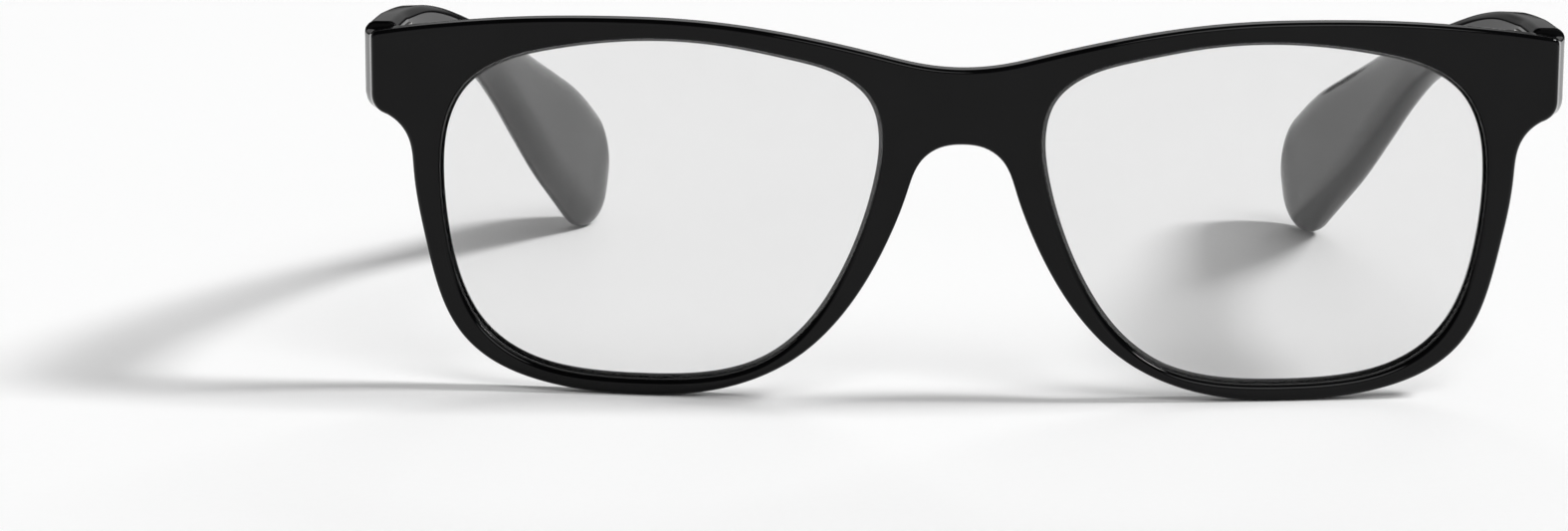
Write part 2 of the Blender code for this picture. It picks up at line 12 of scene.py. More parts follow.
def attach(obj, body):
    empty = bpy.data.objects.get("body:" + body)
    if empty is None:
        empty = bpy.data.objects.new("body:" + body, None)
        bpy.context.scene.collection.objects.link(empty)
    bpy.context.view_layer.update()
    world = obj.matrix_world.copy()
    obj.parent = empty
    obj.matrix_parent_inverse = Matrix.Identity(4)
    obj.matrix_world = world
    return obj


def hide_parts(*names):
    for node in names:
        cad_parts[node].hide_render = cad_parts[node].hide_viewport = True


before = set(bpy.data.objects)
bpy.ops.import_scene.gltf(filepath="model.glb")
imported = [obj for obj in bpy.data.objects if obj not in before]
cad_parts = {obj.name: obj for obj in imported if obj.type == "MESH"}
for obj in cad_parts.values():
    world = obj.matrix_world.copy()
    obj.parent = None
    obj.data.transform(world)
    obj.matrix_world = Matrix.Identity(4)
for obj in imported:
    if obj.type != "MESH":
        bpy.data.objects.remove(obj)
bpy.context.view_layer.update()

# The table they stand on: a broad sheet of matt white card, with a trace of tooth in it.
# It runs far past the glasses on every side, so that no edge of it shows.
table_reach = 6.0
table = bpy.data.objects.new("table", bpy.data.meshes.new("table"))
bpy.context.scene.collection.objects.link(table)
table.data.from_pydata(
    [(-table_reach, -table_reach, 0), (table_reach, -table_reach, 0),
     (table_reach, table_reach, 0), (-table_reach, table_reach, 0)],
    [], [(0, 1, 2, 3)],
)

white_card = bpy.data.materials.new("white_card")
white_card.use_nodes = True
nodes, links = white_card.node_tree.nodes, white_card.node_tree.links
card = nodes["Principled BSDF"]
card.inputs["Roughness"].default_value = 0.9
card.inputs["Specular IOR Level"].default_value = 0.1
place = nodes.new("ShaderNodeTexCoord")
tooth = nodes.new("ShaderNodeTexNoise")
tooth.inputs["Scale"].default_value = 900
tooth.inputs["Detail"].default_value = 3
shade = nodes.new("ShaderNodeValToRGB")
shade.color_ramp.elements[0].color = (0.955, 0.955, 0.955, 1)
shade.color_ramp.elements[1].color = (0.975, 0.975, 0.975, 1)
links.new(place.outputs["Object"], tooth.inputs["Vector"])
links.new(tooth.outputs["Fac"], shade.inputs["Fac"])
links.new(shade.outputs["Color"], card.inputs["Base Color"])
table.data.materials.append(white_card)

# The light: a soft window on the right throws the shadows to the left. A broader, weaker one in front on the
# right, the ceiling and a low light from behind fill them. In front is a pale wall, low down; behind, it is
# dark but for a paler band, which the flat tops mirror.
def window(name, azimuth, height, spread, strength, mirrored_in_gloss):
    light = bpy.data.lights.new(name, "SUN")
    light.angle = math.radians(spread)
    light.energy = strength
    lamp = bpy.data.objects.new(name, light)
    bpy.context.scene.collection.objects.link(lamp)
    towards = Vector((
        math.sin(math.radians(azimuth)) * math.cos(math.radians(height)),
        math.cos(math.radians(azimuth)) * math.cos(math.radians(height)),
        math.sin(math.radians(height)),
    ))
    lamp.rotation_euler = towards.to_track_quat("Z", "Y").to_euler()
    lamp.visible_glossy = mirrored_in_gloss
    lamp.visible_camera = False


window("window_right", 85, 46, 16, 2.42, True)
window("window_front", 156, 46, 34, 0.96, True)
window("ceiling", 0, 80, 120, 0.14, False)
window("light_behind", 10, 15, 40, 1.75, False)

world = bpy.data.worlds.new("room")
bpy.context.scene.world = world
world.use_nodes = True
nodes, links = world.node_tree.nodes, world.node_tree.links
room = nodes["Background"]
looking = nodes.new("ShaderNodeTexCoord")
height = nodes.new("ShaderNodeSeparateXYZ")
turned = nodes.new("ShaderNodeMapRange")
turned.inputs["From Min"].default_value = -0.15
turned.inputs["From Max"].default_value = 0.10
surround = nodes.new("ShaderNodeMix")
surround.data_type = "RGBA"
links.new(looking.outputs["Generated"], height.inputs["Vector"])
links.new(height.outputs["Y"], turned.inputs["Value"])
links.new(turned.outputs["Result"], surround.inputs["Factor"])
for socket, levels in (
    ("A", ((0.0, 0.95), (0.2, 0.75), (0.34, 0.03))),
    ("B", ((0.05, 0.03), (0.09, 0.32), (0.20, 0.32), (0.32, 0.025))),
):
    wall = nodes.new("ShaderNodeValToRGB")
    for place, level in levels[1:-1]:
        wall.color_ramp.elements.new(place)
    for stop, (place, level) in zip(wall.color_ramp.elements, levels):
        stop.position = place
        stop.color = (level, level, level, 1)
    links.new(height.outputs["Z"], wall.inputs["Fac"])
    links.new(wall.outputs["Color"], surround.inputs[socket])
# What the camera sees of the room, also through the lenses, is a plain white wall.
backdrop = nodes.new("ShaderNodeLightPath")
looked_at = nodes.new("ShaderNodeMath")
looked_at.operation = "MAXIMUM"
white_wall = nodes.new("ShaderNodeMix")
white_wall.data_type = "RGBA"
white_wall.inputs["B"].default_value = (0.98, 0.98, 0.98, 1)
links.new(backdrop.outputs["Is Camera Ray"], looked_at.inputs[0])
links.new(backdrop.outputs["Is Transmission Ray"], looked_at.inputs[1])
links.new(looked_at.outputs["Value"], white_wall.inputs["Factor"])
links.new(surround.outputs["Result"], white_wall.inputs["A"])
links.new(white_wall.outputs["Result"], room.inputs["Color"])

# The camera stands in front, a little to the right of the wearer's nose and slightly above the brow.
depth = 0.14034486
front_y = -depth / 2
camera_place = Vector((-0.0069135, front_y - 0.4402286, 0.0923014))
camera_yaw, camera_pitch, camera_roll = -0.0317, 0.1708, 0.0027
ahead = Vector((
    math.sin(camera_yaw) * math.cos(camera_pitch),
    math.cos(camera_yaw) * math.cos(camera_pitch),
    -math.sin(camera_pitch),
))
level = Vector((math.cos(camera_yaw), -math.sin(camera_yaw), 0))
rise = level.cross(ahead)
across = level * math.cos(camera_roll) + rise * math.sin(camera_roll)
upward = rise * math.cos(camera_roll) - level * math.sin(camera_roll)
sensor_width, picture_width, focal_length = 36, 1575, 3805.85
lens_view = bpy.data.cameras.new("camera")
lens_view.sensor_width = sensor_width
lens_view.lens = focal_length * sensor_width / picture_width
lens_view.clip_start = 0.01
camera = bpy.data.objects.new("camera", lens_view)
bpy.context.scene.collection.objects.link(camera)
camera.matrix_world = Matrix((
    (across.x, upward.x, -ahead.x, camera_place.x),
    (across.y, upward.y, -ahead.y, camera_place.y),
    (across.z, upward.z, -ahead.z, camera_place.z),
    (0, 0, 0, 1),
))
bpy.context.scene.camera = camera
bpy.context.scene.view_settings.view_transform = "Standard"

# The front: both rims, the saddle bridge, the end pieces and the nose pads are one injection moulding in
# black plastic, 3.6 mm thick, bowed to the face and tumbled until every edge is soft and polished.
lens_width, lens_height, bridge_width = 0.0525, 0.0398, 0.0197
rim_bottom, rim_nose, rim_side, brow_height = 0.0024, 0.0041, 0.0038, 0.0029
bridge_drop, bridge_height, brow_end_share = 0.0055, 0.00885, 0.57
end_reach, end_height, end_depth, end_flare = 0.0052, 0.0092, 0.0041, 0.00125
flare_start, flare_full, upper_corner, lower_corner = 0.0030, 0.0004, 0.0009, 0.0018
front_thickness, face_radius, edge_round, hole_round = 0.0036, 0.300, 0.00064, 0.00045
edge_ease, lip_out, lip_draft, lip_round, groove_bite = 0.00010, 0.00042, 0.00024, 0.00060, 0.00080
front_height = rim_bottom + lens_height + brow_height
bridge_top = front_height - bridge_drop
arch_top = bridge_top - bridge_height
end_top = bridge_top + brow_end_share * bridge_drop
end_bottom = end_top - end_height
half_face = bridge_width / 2 + lens_width + rim_side + end_reach
corner_x = face_radius * math.sin(half_face / face_radius)
butt_back = face_radius * (1 - math.cos(half_face / face_radius)) + end_depth
butt_y = front_y + butt_back
lens_u, lens_v = (bridge_width + lens_width) / 2, rim_bottom + lens_height / 2

# The places that the outlines pass through, as shares of the width and height of what each goes round.
lens_shares = (
    (0.54, 1.000), (0.73, 0.972), (0.86, 0.926), (0.945, 0.850), (0.988, 0.740), (1.0, 0.600),
    (0.988, 0.420), (0.956, 0.255), (0.895, 0.125), (0.800, 0.045), (0.66, 0.006), (0.52, 0.0),
    (0.39, 0.010), (0.27, 0.055), (0.175, 0.148), (0.098, 0.290), (0.042, 0.455), (0.009, 0.610),
    (0.0, 0.730), (0.022, 0.835), (0.085, 0.905), (0.20, 0.952), (0.36, 0.990),
)
brow_shares = (
    (0.07, 0.08), (0.14, 0.285), (0.22, 0.52), (0.31, 0.74), (0.41, 0.91), (0.50, 0.985),
    (0.58, 1.0), (0.67, 0.985), (0.76, 0.93), (0.85, 0.83), (0.93, 0.71),
)
rim_shares = (
    (1.0, 0.585), (0.993, 0.507), (0.979, 0.414), (0.960, 0.308), (0.935, 0.214), (0.897, 0.137),
    (0.840, 0.077), (0.757, 0.033), (0.656, 0.008), (0.542, 0.0), (0.425, 0.010), (0.319, 0.046),
    (0.222, 0.115), (0.144, 0.215), (0.085, 0.330), (0.042, 0.445), (0.011, 0.555),
)
end_curve_shares = ((0.62, 0.10), (0.30, 0.27), (0.11, 0.49))
arch_shares = ((0.242, 0.22), (0.132, 0.045))


def drawn_curve(points, closed, step):
    # A curve drawn through the points with a bent spline, its slopes solved so that the bend runs on
    points = np.array(points)
    count = len(points)
    gaps = np.linalg.norm(np.roll(points, -1, axis=0) - points, axis=1)
    bend = np.zeros((count, count))
    pull = np.zeros((count, 2))
    for i in range(count):
        before, after = gaps[i - 1], gaps[i]
        if not closed and i in (0, count - 1):
            j = 1 if i == 0 else count - 2
            span = gaps[min(i, j)]
            bend[i, i], bend[i, j] = 2, 1
            pull[i] = 3 * (points[j] - points[i]) / (span if i == 0 else -span)
            continue
        following = (i + 1) % count
        bend[i, i - 1] += after
        bend[i, i] += 2 * (before + after)
        bend[i, following] += before
        behind, beyond = points[i] - points[i - 1], points[following] - points[i]
        pull[i] = 3 * (after * behind / before + before * beyond / after)
    slopes = np.linalg.solve(bend, pull)
    curve = []
    for i in range(count if closed else count - 1):
        following = (i + 1) % count
        steps = max(1, round(gaps[i] / step))
        for k in range(steps):
            t = k / steps
            curve.append(
                (1 + 2 * t) * (1 - t) ** 2 * points[i] + t * (1 - t) ** 2 * gaps[i] * slopes[i]
                + t * t * (3 - 2 * t) * points[following] + t * t * (t - 1) * gaps[i] * slopes[following]
            )
    if not closed:
        curve.append(points[-1])
    return np.array(curve)


def outward(curve):
    # The direction out of a closed curve at each of its points; the curve runs clockwise
    along = np.roll(curve, -1, axis=0) - np.roll(curve, 1, axis=0)
    along /= np.linalg.norm(along, axis=1)[:, None]
    return np.column_stack((-along[:, 1], along[:, 0]))


def softened_corner(coming, going, reach, steps):
    # Two open curves that meet in a corner, joined by a soft turn that starts the reach before it
    corner = coming[-1]
    kept_in = [p for p in coming if np.linalg.norm(p - corner) > reach * 1.05]
    kept_out = [p for p in going if np.linalg.norm(p - corner) > reach * 1.05]
    start = corner + (kept_in[-1] - corner) * reach / np.linalg.norm(kept_in[-1] - corner)
    end = corner + (kept_out[0] - corner) * reach / np.linalg.norm(kept_out[0] - corner)
    turn = []
    for k in range(steps + 1):
        t = k / steps
        turn.append((1 - t) ** 2 * start + 2 * t * (1 - t) * corner + t * t * end)
    return kept_in + turn, kept_out


def front_edge(step):
    # Half of the outer edge, from the top of the bridge round the end piece and rim to the arch, and then
    # the other half as its mirror image
    brow = [(0, bridge_top)] + [(out * half_face, bridge_top + up * bridge_drop) for out, up in brow_shares]
    brow.append((half_face, end_top))
    mirror_brow = [(-u, v) for u, v in reversed(brow[1:])]
    brow = drawn_curve(mirror_brow + brow, False, step)
    brow = [p for p in brow if p[0] >= 0]
    rim_u = bridge_width / 2 - rim_nose
    rim_span = rim_nose + lens_width + rim_side
    rim_top = (rim_u + rim_shares[0][0] * rim_span, rim_shares[0][1] * front_height)
    below = [(half_face, end_bottom)]
    for out, down in end_curve_shares:
        below.append((rim_top[0] + out * end_reach, end_bottom - down * (end_bottom - rim_top[1])))
    below += [(rim_u + out * rim_span, up * front_height) for out, up in rim_shares]
    below += [(out * bridge_width, arch_top - down * bridge_height) for out, down in arch_shares]
    below = below + [(0, arch_top)] + [(-u, v) for u, v in reversed(below)]
    below = [p for p in drawn_curve(below, False, step) if p[0] >= -1e-9]
    side = [np.array((half_face, v)) for v in np.linspace(end_top, end_bottom, round(end_height / step) + 1)]
    first, side = softened_corner(brow, side, upper_corner, 8)
    second, below = softened_corner(side, below, lower_corner, 10)
    half = np.array(first + second + below)
    half[0, 0] = half[-1, 0] = 0
    other = half[1:-1][::-1] * (-1, 1)
    return np.vstack((half, other))


def bow(u):
    # How far the bowed face falls back at a distance along it from the middle
    return face_radius * (1 - math.cos(u / face_radius))


def smooth_rise(value, low, high):
    # From 0 at low to 1 at high, level at both
    t = min(1, max(0, (value - low) / (high - low)))
    return t * t * (3 - 2 * t)


def on_face(u, v, back):
    # A place on the bowed front; the end pieces flare outwards towards their backs
    side = 1 if u >= 0 else -1
    flare = smooth_rise(abs(u), half_face - flare_start, half_face - flare_full) * end_flare
    share = min(1, max(0, (back - edge_round) / (end_depth - edge_round)))
    x = face_radius * math.sin(u / face_radius) + side * flare * share
    return Vector((x, front_y + bow(u) + back, v))


def face_normal(u, edge, lean):
    # The way the polished surface faces where it leans from the face, 1, to the wall, 0
    t = u / face_radius
    wall = Vector((edge[0], 0, edge[1] * math.cos(t)))
    wall.normalize()
    face = Vector((math.sin(t), -math.cos(t), 0))
    turn = lean * math.pi / 2
    return (wall * math.cos(turn) + face * math.sin(turn)).normalized()


pad_low, pad_high, pad_depth, pad_width = 0.16, 0.62, 0.0030, 0.0036
nose_top = front_height * 0.66
edge_step = 0.0005
outer_edge = front_edge(edge_step)
nose_side = np.array(sorted((p[1], p[0]) for p in outer_edge if 0 < p[0] < lens_u and p[1] < nose_top))
temple_thickness, butt_rise, butt_flat = 0.0040, 0.0007, 0.0001
temple_inner_x = corner_x + end_flare - temple_thickness


def back_depth(u, v):
    # How far the back lies behind the front: the plate, the nose pads and the flat that the temple butts on
    u = abs(u)
    deep = front_thickness
    if v < front_height * (pad_high + 0.02) and u < lens_u:
        share = (v / front_height - pad_low) / (pad_high - pad_low)
        if 0 < share < 1:
            swell = math.sin(math.pi * share)
            nose_edge = np.interp(v, nose_side[:, 0], nose_side[:, 1])
            across_pad = (u - nose_edge) / (pad_width * (0.6 + 0.4 * swell))
            crest = smooth_rise(across_pad, -0.15, 0.30) * (1 - smooth_rise(across_pad, 0.35, 1.0))
            deep += pad_depth * swell ** 0.8 * crest
    x = face_radius * math.sin(u / face_radius)
    butt = butt_back - bow(u)
    lift = smooth_rise(x, temple_inner_x - butt_rise, temple_inner_x - butt_flat)
    return deep + lift * (butt - deep)


def inside(polygon, points):
    # Which points lie inside a closed polygon
    found = np.zeros(len(points), bool)
    for a, b in zip(polygon, np.roll(polygon, -1, axis=0)):
        spans = (a[1] > points[:, 1]) != (b[1] > points[:, 1])
        cross = a[0] + (points[:, 1] - a[1]) * (b[0] - a[0]) / (b[1] - a[1] if b[1] != a[1] else 1)
        found ^= spans & (points[:, 0] < cross)
    return found


def sheet_between(shape, loops, edges, holes, spots, lift, flip):
    # A surface across the area between closed loops of corners: triangles through the loops and loose spots
    flat = [Vector(p) for loop in edges for p in loop]
    corners = [corner for loop in loops for corner in loop]
    seams = []
    start = 0
    for loop in edges:
        seams += [(start + k, start + (k + 1) % len(loop)) for k in range(len(loop))]
        start += len(loop)
    flat += [Vector(p) for p in spots]
    places, _, faces, origins, _, _ = delaunay_2d_cdt(flat, seams, [], 0, 1e-9)
    real = []
    for p, origin in zip(places, origins):
        known = [k for k in origin if k < len(corners)]
        real.append(corners[known[0]] if known else shape.verts.new(lift(p.x, p.y)))
    centres = np.array([np.mean([places[k] for k in face], axis=0) for face in faces])
    keep = inside(np.array(edges[0]), centres)
    for hole in holes:
        keep &= ~inside(np.array(hole), centres)
    for face, kept in zip(faces, keep):
        if kept and len({real[k] for k in face}) == 3:
            shape.faces.new([real[k] for k in (reversed(face) if flip else face)])
    return [(corner, p) for corner, p in zip(real, places)]


def even_spots(low, high, step, edges, clear):
    # Evenly staggered spots in a box, none nearer to the edges than the clearance
    found = []
    rows = int((high[1] - low[1]) / (step * 0.87)) + 1
    for row in range(rows):
        v = low[1] + row * step * 0.87
        u = np.arange(low[0] + (row % 2) * step / 2, high[0], step)
        found.append(np.column_stack((u, np.full(len(u), v))))
    found = np.vstack(found)
    edge = np.vstack(edges)
    near = np.array([np.min(np.sum((edge - p) ** 2, axis=1)) for p in found])
    return found[near > clear ** 2]


def wall_rows(shape, rows):
    # Faces between closed rows of corners, each row joined to the next
    for first, second in zip(rows, rows[1:]):
        for k in range(len(first)):
            following = (k + 1) % len(first)
            shape.faces.new((first[k], first[following], second[following], second[k]))


def finished_mesh(shape, name, known, sharp):
    # The shape as a mesh: smooth, with edges sharper than the angle kept, and the known normals set exactly
    shape.verts.index_update()
    exact = {corner.index: normal for corner, normal in known.items()}
    bmesh.ops.recalc_face_normals(shape, faces=shape.faces)
    mesh = bpy.data.meshes.new(name)
    shape.to_mesh(mesh)
    shape.free()
    mesh.shade_smooth()
    mesh.set_sharp_from_angle(angle=math.radians(sharp))
    if exact:
        normals = [Vector(corner.vector) for corner in mesh.corner_normals]
        for k, loop in enumerate(mesh.loops):
            if loop.vertex_index in exact:
                normals[k] = exact[loop.vertex_index]
        mesh.normals_split_custom_set(normals)
    return mesh


def shown(name, mesh, material):
    # The mesh as a visible piece in its material
    piece = bpy.data.objects.new(name, mesh)
    bpy.context.scene.collection.objects.link(piece)
    mesh.materials.append(material)
    return piece


# The lens groove runs round each opening, cut to the lens's own two curves.
lens_front_radius, lens_back_radius, lens_edge, lens_rise = 0.132, 0.280, 0.0005, 0.0005
lens_turn = lens_u / face_radius


def sag(radius, reach):
    # How far a lens surface falls back at a distance from its middle
    return radius - math.sqrt(radius ** 2 - reach ** 2)


lens_curve = drawn_curve(
    [((out - 0.5) * lens_width, (up - 0.5) * lens_height) for out, up in lens_shares], True, edge_step,
)
blank_bite, blank_spare = 0.0008, 0.0010
blank_reach = max(np.linalg.norm(lens_curve + outward(lens_curve) * blank_bite, axis=1)) + blank_spare
lens_middle = lens_edge + sag(lens_front_radius, blank_reach) - sag(lens_back_radius, blank_reach)
lens_apex = on_face(lens_u, lens_v, -lens_rise)
lens_axis = Vector((-math.sin(lens_turn), math.cos(lens_turn), 0))
lens_across = Vector((math.cos(lens_turn), math.sin(lens_turn), 0))


def lens_back_at(u, v, ahead_of_centre, radius):
    # How far behind the face a lens surface passes at a place on the rim
    centre = lens_apex + lens_axis * (ahead_of_centre + radius)
    place = on_face(abs(u), v, 0)
    y = centre.y - math.sqrt(radius ** 2 - (place.x - centre.x) ** 2 - (place.z - centre.z) ** 2)
    return y - place.y


bend_steps, lip = 7, 0.00005
front_shape = bmesh.new()
front_known = {}
left_hole = lens_curve + (lens_u, lens_v)
right_hole = (left_hole * (-1, 1))[::-1]
front_loops, back_loops, front_edges, back_edges = [], [], [], []
for edge, hole in ((outer_edge, False), (left_hole, True), (right_hole, True)):
    out = outward(edge) * (-1 if hole else 1)
    softness = [hole_round if hole else edge_round - edge_ease * n[1] for n in out]
    rows = []
    for k in range(bend_steps, -1, -1):
        # The face is rounded over into the wall of the edge, but each opening's lip is cut off halfway round
        row = []
        for p, n, soft in zip(edge, out, softness):
            if hole:
                lean = 0.5 + 0.5 * k / bend_steps
                turn = (1 - lean) * math.pi / 2
                inset = lip_out + lip_draft + lip_round * (math.sin(math.pi / 4) - math.sin(turn))
                back = lip_round * (1 - math.cos(turn))
            else:
                lean = k / bend_steps
                turn = lean * math.pi / 2
                inset, back = soft * (1 - math.cos(turn)), soft * (1 - math.sin(turn))
            corner = front_shape.verts.new(on_face(p[0] - n[0] * inset, p[1] - n[1] * inset, back))
            front_known[corner] = face_normal(p[0], n, lean)
            row.append(corner)
        rows.append(row)
    front_loops.append(rows[0])
    lip_inset = lip_out + lip_draft + lip_round * math.sin(math.pi / 4)
    face_inset = [lip_inset if hole else soft for soft in softness]
    front_edges.append(edge - out * np.array(face_inset)[:, None])
    if hole:
        for inset, lens_side, gap in (
            (lip_out, 0, -2 * lip), (lip_out + lip, 0, -lip), (groove_bite + lip, 0, -lip),
            (groove_bite + lip, 1, lip), (lip, 1, lip), (0, 1, 2 * lip),
        ):
            radius = lens_back_radius if lens_side else lens_front_radius
            row = []
            for p, n in zip(edge, out):
                u, v = p[0] - n[0] * inset, p[1] - n[1] * inset
                row.append(front_shape.verts.new(on_face(
                    u, v, gap + lens_back_at(u, v, lens_middle * lens_side, radius),
                )))
            rows.append(row)
    deep = [back_depth(p[0], p[1]) for p in edge]
    for share in (0.33, 0.66) if not hole else ():
        rows.append([
            front_shape.verts.new(on_face(p[0], p[1], soft + share * (d - 2 * soft)))
            for p, d, soft in zip(edge, deep, softness)
        ])
    for k in range(bend_steps + 1):
        turn = k / bend_steps * math.pi / 2
        row = []
        for p, n, d, soft in zip(edge, out, deep, softness):
            inset, back = soft * (1 - math.cos(turn)), soft * (1 - math.sin(turn))
            row.append(front_shape.verts.new(on_face(
                p[0] - n[0] * inset, p[1] - n[1] * inset,
                d - back + (back_depth(p[0] - n[0] * soft, p[1] - n[1] * soft) - d) * k / bend_steps,
            )))
        rows.append(row)
    back_loops.append(rows[-1])
    back_edges.append(edge - out * np.array(softness)[:, None])
    wall_rows(front_shape, rows)

face_spacing, face_clear = 0.0012, 0.0005
spots = even_spots((-half_face, 0), (half_face, front_height), face_spacing, front_edges, face_clear)
placed = sheet_between(
    front_shape, front_loops, front_edges, front_edges[1:], spots, lambda u, v: on_face(u, v, 0), False,
)
for corner, p in placed:
    front_known[corner] = face_normal(p.x, (1, 0), 1)

# Each end piece has a shallow seat in its back, where the hinge leaf is pressed in.
root_lift, hinge_play, temple_gap = 0.0006, 0.0003, 0.0003
root_z = end_top - end_height / 2 + root_lift
knuckle_radius, knuckle_height, knuckle_gap, leaf_thickness = 0.0015, 0.0012, 0.0003, 0.0009
hinge_height = 5 * knuckle_height + 4 * knuckle_gap
axis_x = temple_inner_x - knuckle_radius - hinge_play
axis_y = butt_y + temple_gap / 2
front_leaf_length, seat_gap, seat_shy = 0.0046, 0.00006, 0.00002
leaf_y = axis_y - knuckle_radius - hinge_play
floor_y = leaf_y - leaf_thickness - seat_gap
seat_low = (axis_x + knuckle_radius - front_leaf_length - seat_gap, root_z - hinge_height / 2 - seat_gap)
seat_high = (temple_inner_x - seat_shy, root_z + hinge_height / 2 + seat_gap)
seat_loops = []
for side in (1, -1):
    seat = []
    low_u = face_radius * math.asin(seat_low[0] / face_radius)
    high_u = face_radius * math.asin(seat_high[0] / face_radius)
    for a, b in (
        ((low_u, seat_low[1]), (low_u, seat_high[1])), ((low_u, seat_high[1]), (high_u, seat_high[1])),
        ((high_u, seat_high[1]), (high_u, seat_low[1])), ((high_u, seat_low[1]), (low_u, seat_low[1])),
    ):
        steps = 12
        seat += [(a[0] + (b[0] - a[0]) * k / steps, a[1] + (b[1] - a[1]) * k / steps) for k in range(steps)]
    seat = np.array(seat) * (side, 1)
    if side < 0:
        seat = seat[::-1]
    rim_row = [front_shape.verts.new(on_face(u, v, back_depth(u, v))) for u, v in seat]
    floor_row = [front_shape.verts.new((corner.co.x, floor_y, corner.co.z)) for corner in rim_row]
    wall_rows(front_shape, [floor_row, rim_row])
    front_shape.faces.new(floor_row)
    seat_loops.append((rim_row, seat))
back_loops += [row for row, _ in seat_loops]
back_edges += [seat for _, seat in seat_loops]

# The back is drawn more finely where the nose pads swell and where the end pieces rise to meet the temples.
nose_reach, end_from, end_to, end_low, end_high = lens_u - 0.016, 0.0672, 0.0712, 0.033, 0.043
back_spacing, nose_spacing, end_spacing = 0.0011, 0.00045, 0.00025
back_clear, nose_clear, end_clear = 0.0004, 0.00025, 0.00015
spots = even_spots((-half_face, 0), (half_face, front_height), back_spacing, back_edges, back_clear)
spots = [p for p in spots if abs(p[0]) < end_from and not (abs(p[0]) < nose_reach and p[1] < nose_top)]
fine = even_spots((-0.022, 0.004), (0.022, nose_top), nose_spacing, back_edges, nose_clear)
fine = [p for p in fine if abs(p[0]) < nose_reach]
ends = [
    even_spots((inner, end_low), (outer, end_high), end_spacing, back_edges, end_clear)
    for inner, outer in ((end_from, end_to), (-end_to, -end_from))
]
sheet_between(
    front_shape, back_loops, back_edges, back_edges[1:], np.vstack([spots, fine] + ends),
    lambda u, v: on_face(u, v, back_depth(u, v)), True,
)

# Its plastic is black right through, polished by tumbling, with faint swirls and a little handling on
# the gloss.
polished_black = bpy.data.materials.new("polished_black")
polished_black.use_nodes = True
nodes, links = polished_black.node_tree.nodes, polished_black.node_tree.links
gloss = nodes["Principled BSDF"]
gloss.inputs["IOR"].default_value = 1.49
gloss.inputs["Specular IOR Level"].default_value = 0.16
place = nodes.new("ShaderNodeTexCoord")
cloud = nodes.new("ShaderNodeTexNoise")
cloud.inputs["Scale"].default_value = 160
cloud.inputs["Detail"].default_value = 4
black = nodes.new("ShaderNodeValToRGB")
black.color_ramp.elements[0].position = 0.3
black.color_ramp.elements[0].color = (0.0012, 0.0012, 0.0013, 1)
black.color_ramp.elements[1].position = 0.75
black.color_ramp.elements[1].color = (0.0026, 0.0026, 0.0029, 1)
swirl = nodes.new("ShaderNodeTexNoise")
swirl.inputs["Scale"].default_value = 240
swirl.inputs["Detail"].default_value = 3
swirl.inputs["Distortion"].default_value = 0.8
handling = nodes.new("ShaderNodeMapRange")
handling.inputs["To Min"].default_value = 0.05
handling.inputs["To Max"].default_value = 0.085
wave = nodes.new("ShaderNodeTexNoise")
wave.inputs["Scale"].default_value = 110
wave.inputs["Detail"].default_value = 2
ripple = nodes.new("ShaderNodeBump")
ripple.inputs["Strength"].default_value = 0.03
ripple.inputs["Distance"].default_value = 0.00005
links.new(place.outputs["Object"], cloud.inputs["Vector"])
links.new(place.outputs["Object"], swirl.inputs["Vector"])
links.new(place.outputs["Object"], wave.inputs["Vector"])
links.new(cloud.outputs["Fac"], black.inputs["Fac"])
links.new(black.outputs["Color"], gloss.inputs["Base Color"])
links.new(swirl.outputs["Fac"], handling.inputs["Value"])
links.new(handling.outputs["Result"], gloss.inputs["Roughness"])
links.new(wave.outputs["Fac"], ripple.inputs["Height"])
links.new(ripple.outputs["Normal"], gloss.inputs["Normal"])

front = shown("moulded_front", finished_mesh(front_shape, "moulded_front", front_known, 32), polished_black)
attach(front, "front")
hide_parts("front")

# Two lenses of clear hard resin, each a meniscus of about two dioptres, ground to the opening's outline and
# sprung into the groove. The polished surfaces are clean but for the finest wiping marks.
clear_resin = bpy.data.materials.new("clear_resin")
clear_resin.use_nodes = True
nodes, links = clear_resin.node_tree.nodes, clear_resin.node_tree.links
glassy = nodes["Principled BSDF"]
glassy.inputs["Transmission Weight"].default_value = 1
glassy.inputs["IOR"].default_value = 1.5
place = nodes.new("ShaderNodeTexCoord")
wiping = nodes.new("ShaderNodeTexNoise")
wiping.inputs["Scale"].default_value = 300
wiping.inputs["Detail"].default_value = 5
wiped = nodes.new("ShaderNodeMapRange")
wiped.inputs["From Min"].default_value = 0.45
wiped.inputs["To Min"].default_value = 0.0
wiped.inputs["To Max"].default_value = 0.012
tone = nodes.new("ShaderNodeValToRGB")
tone.color_ramp.elements[0].color = (0.812, 0.812, 0.812, 1)
tone.color_ramp.elements[1].color = (0.836, 0.836, 0.836, 1)
see_through = nodes.new("ShaderNodeBsdfTransparent")
see_through.inputs["Color"].default_value = (0.85, 0.85, 0.85, 1)
ray = nodes.new("ShaderNodeLightPath")
either = nodes.new("ShaderNodeMixShader")
links.new(place.outputs["Object"], wiping.inputs["Vector"])
links.new(wiping.outputs["Fac"], wiped.inputs["Value"])
links.new(wiped.outputs["Result"], glassy.inputs["Roughness"])
links.new(wiping.outputs["Fac"], tone.inputs["Fac"])
links.new(tone.outputs["Color"], glassy.inputs["Base Color"])
links.new(ray.outputs["Is Shadow Ray"], either.inputs["Fac"])
links.new(glassy.outputs["BSDF"], either.inputs[1])
links.new(see_through.outputs["BSDF"], either.inputs[2])
links.new(either.outputs["Shader"], nodes["Material Output"].inputs["Surface"])

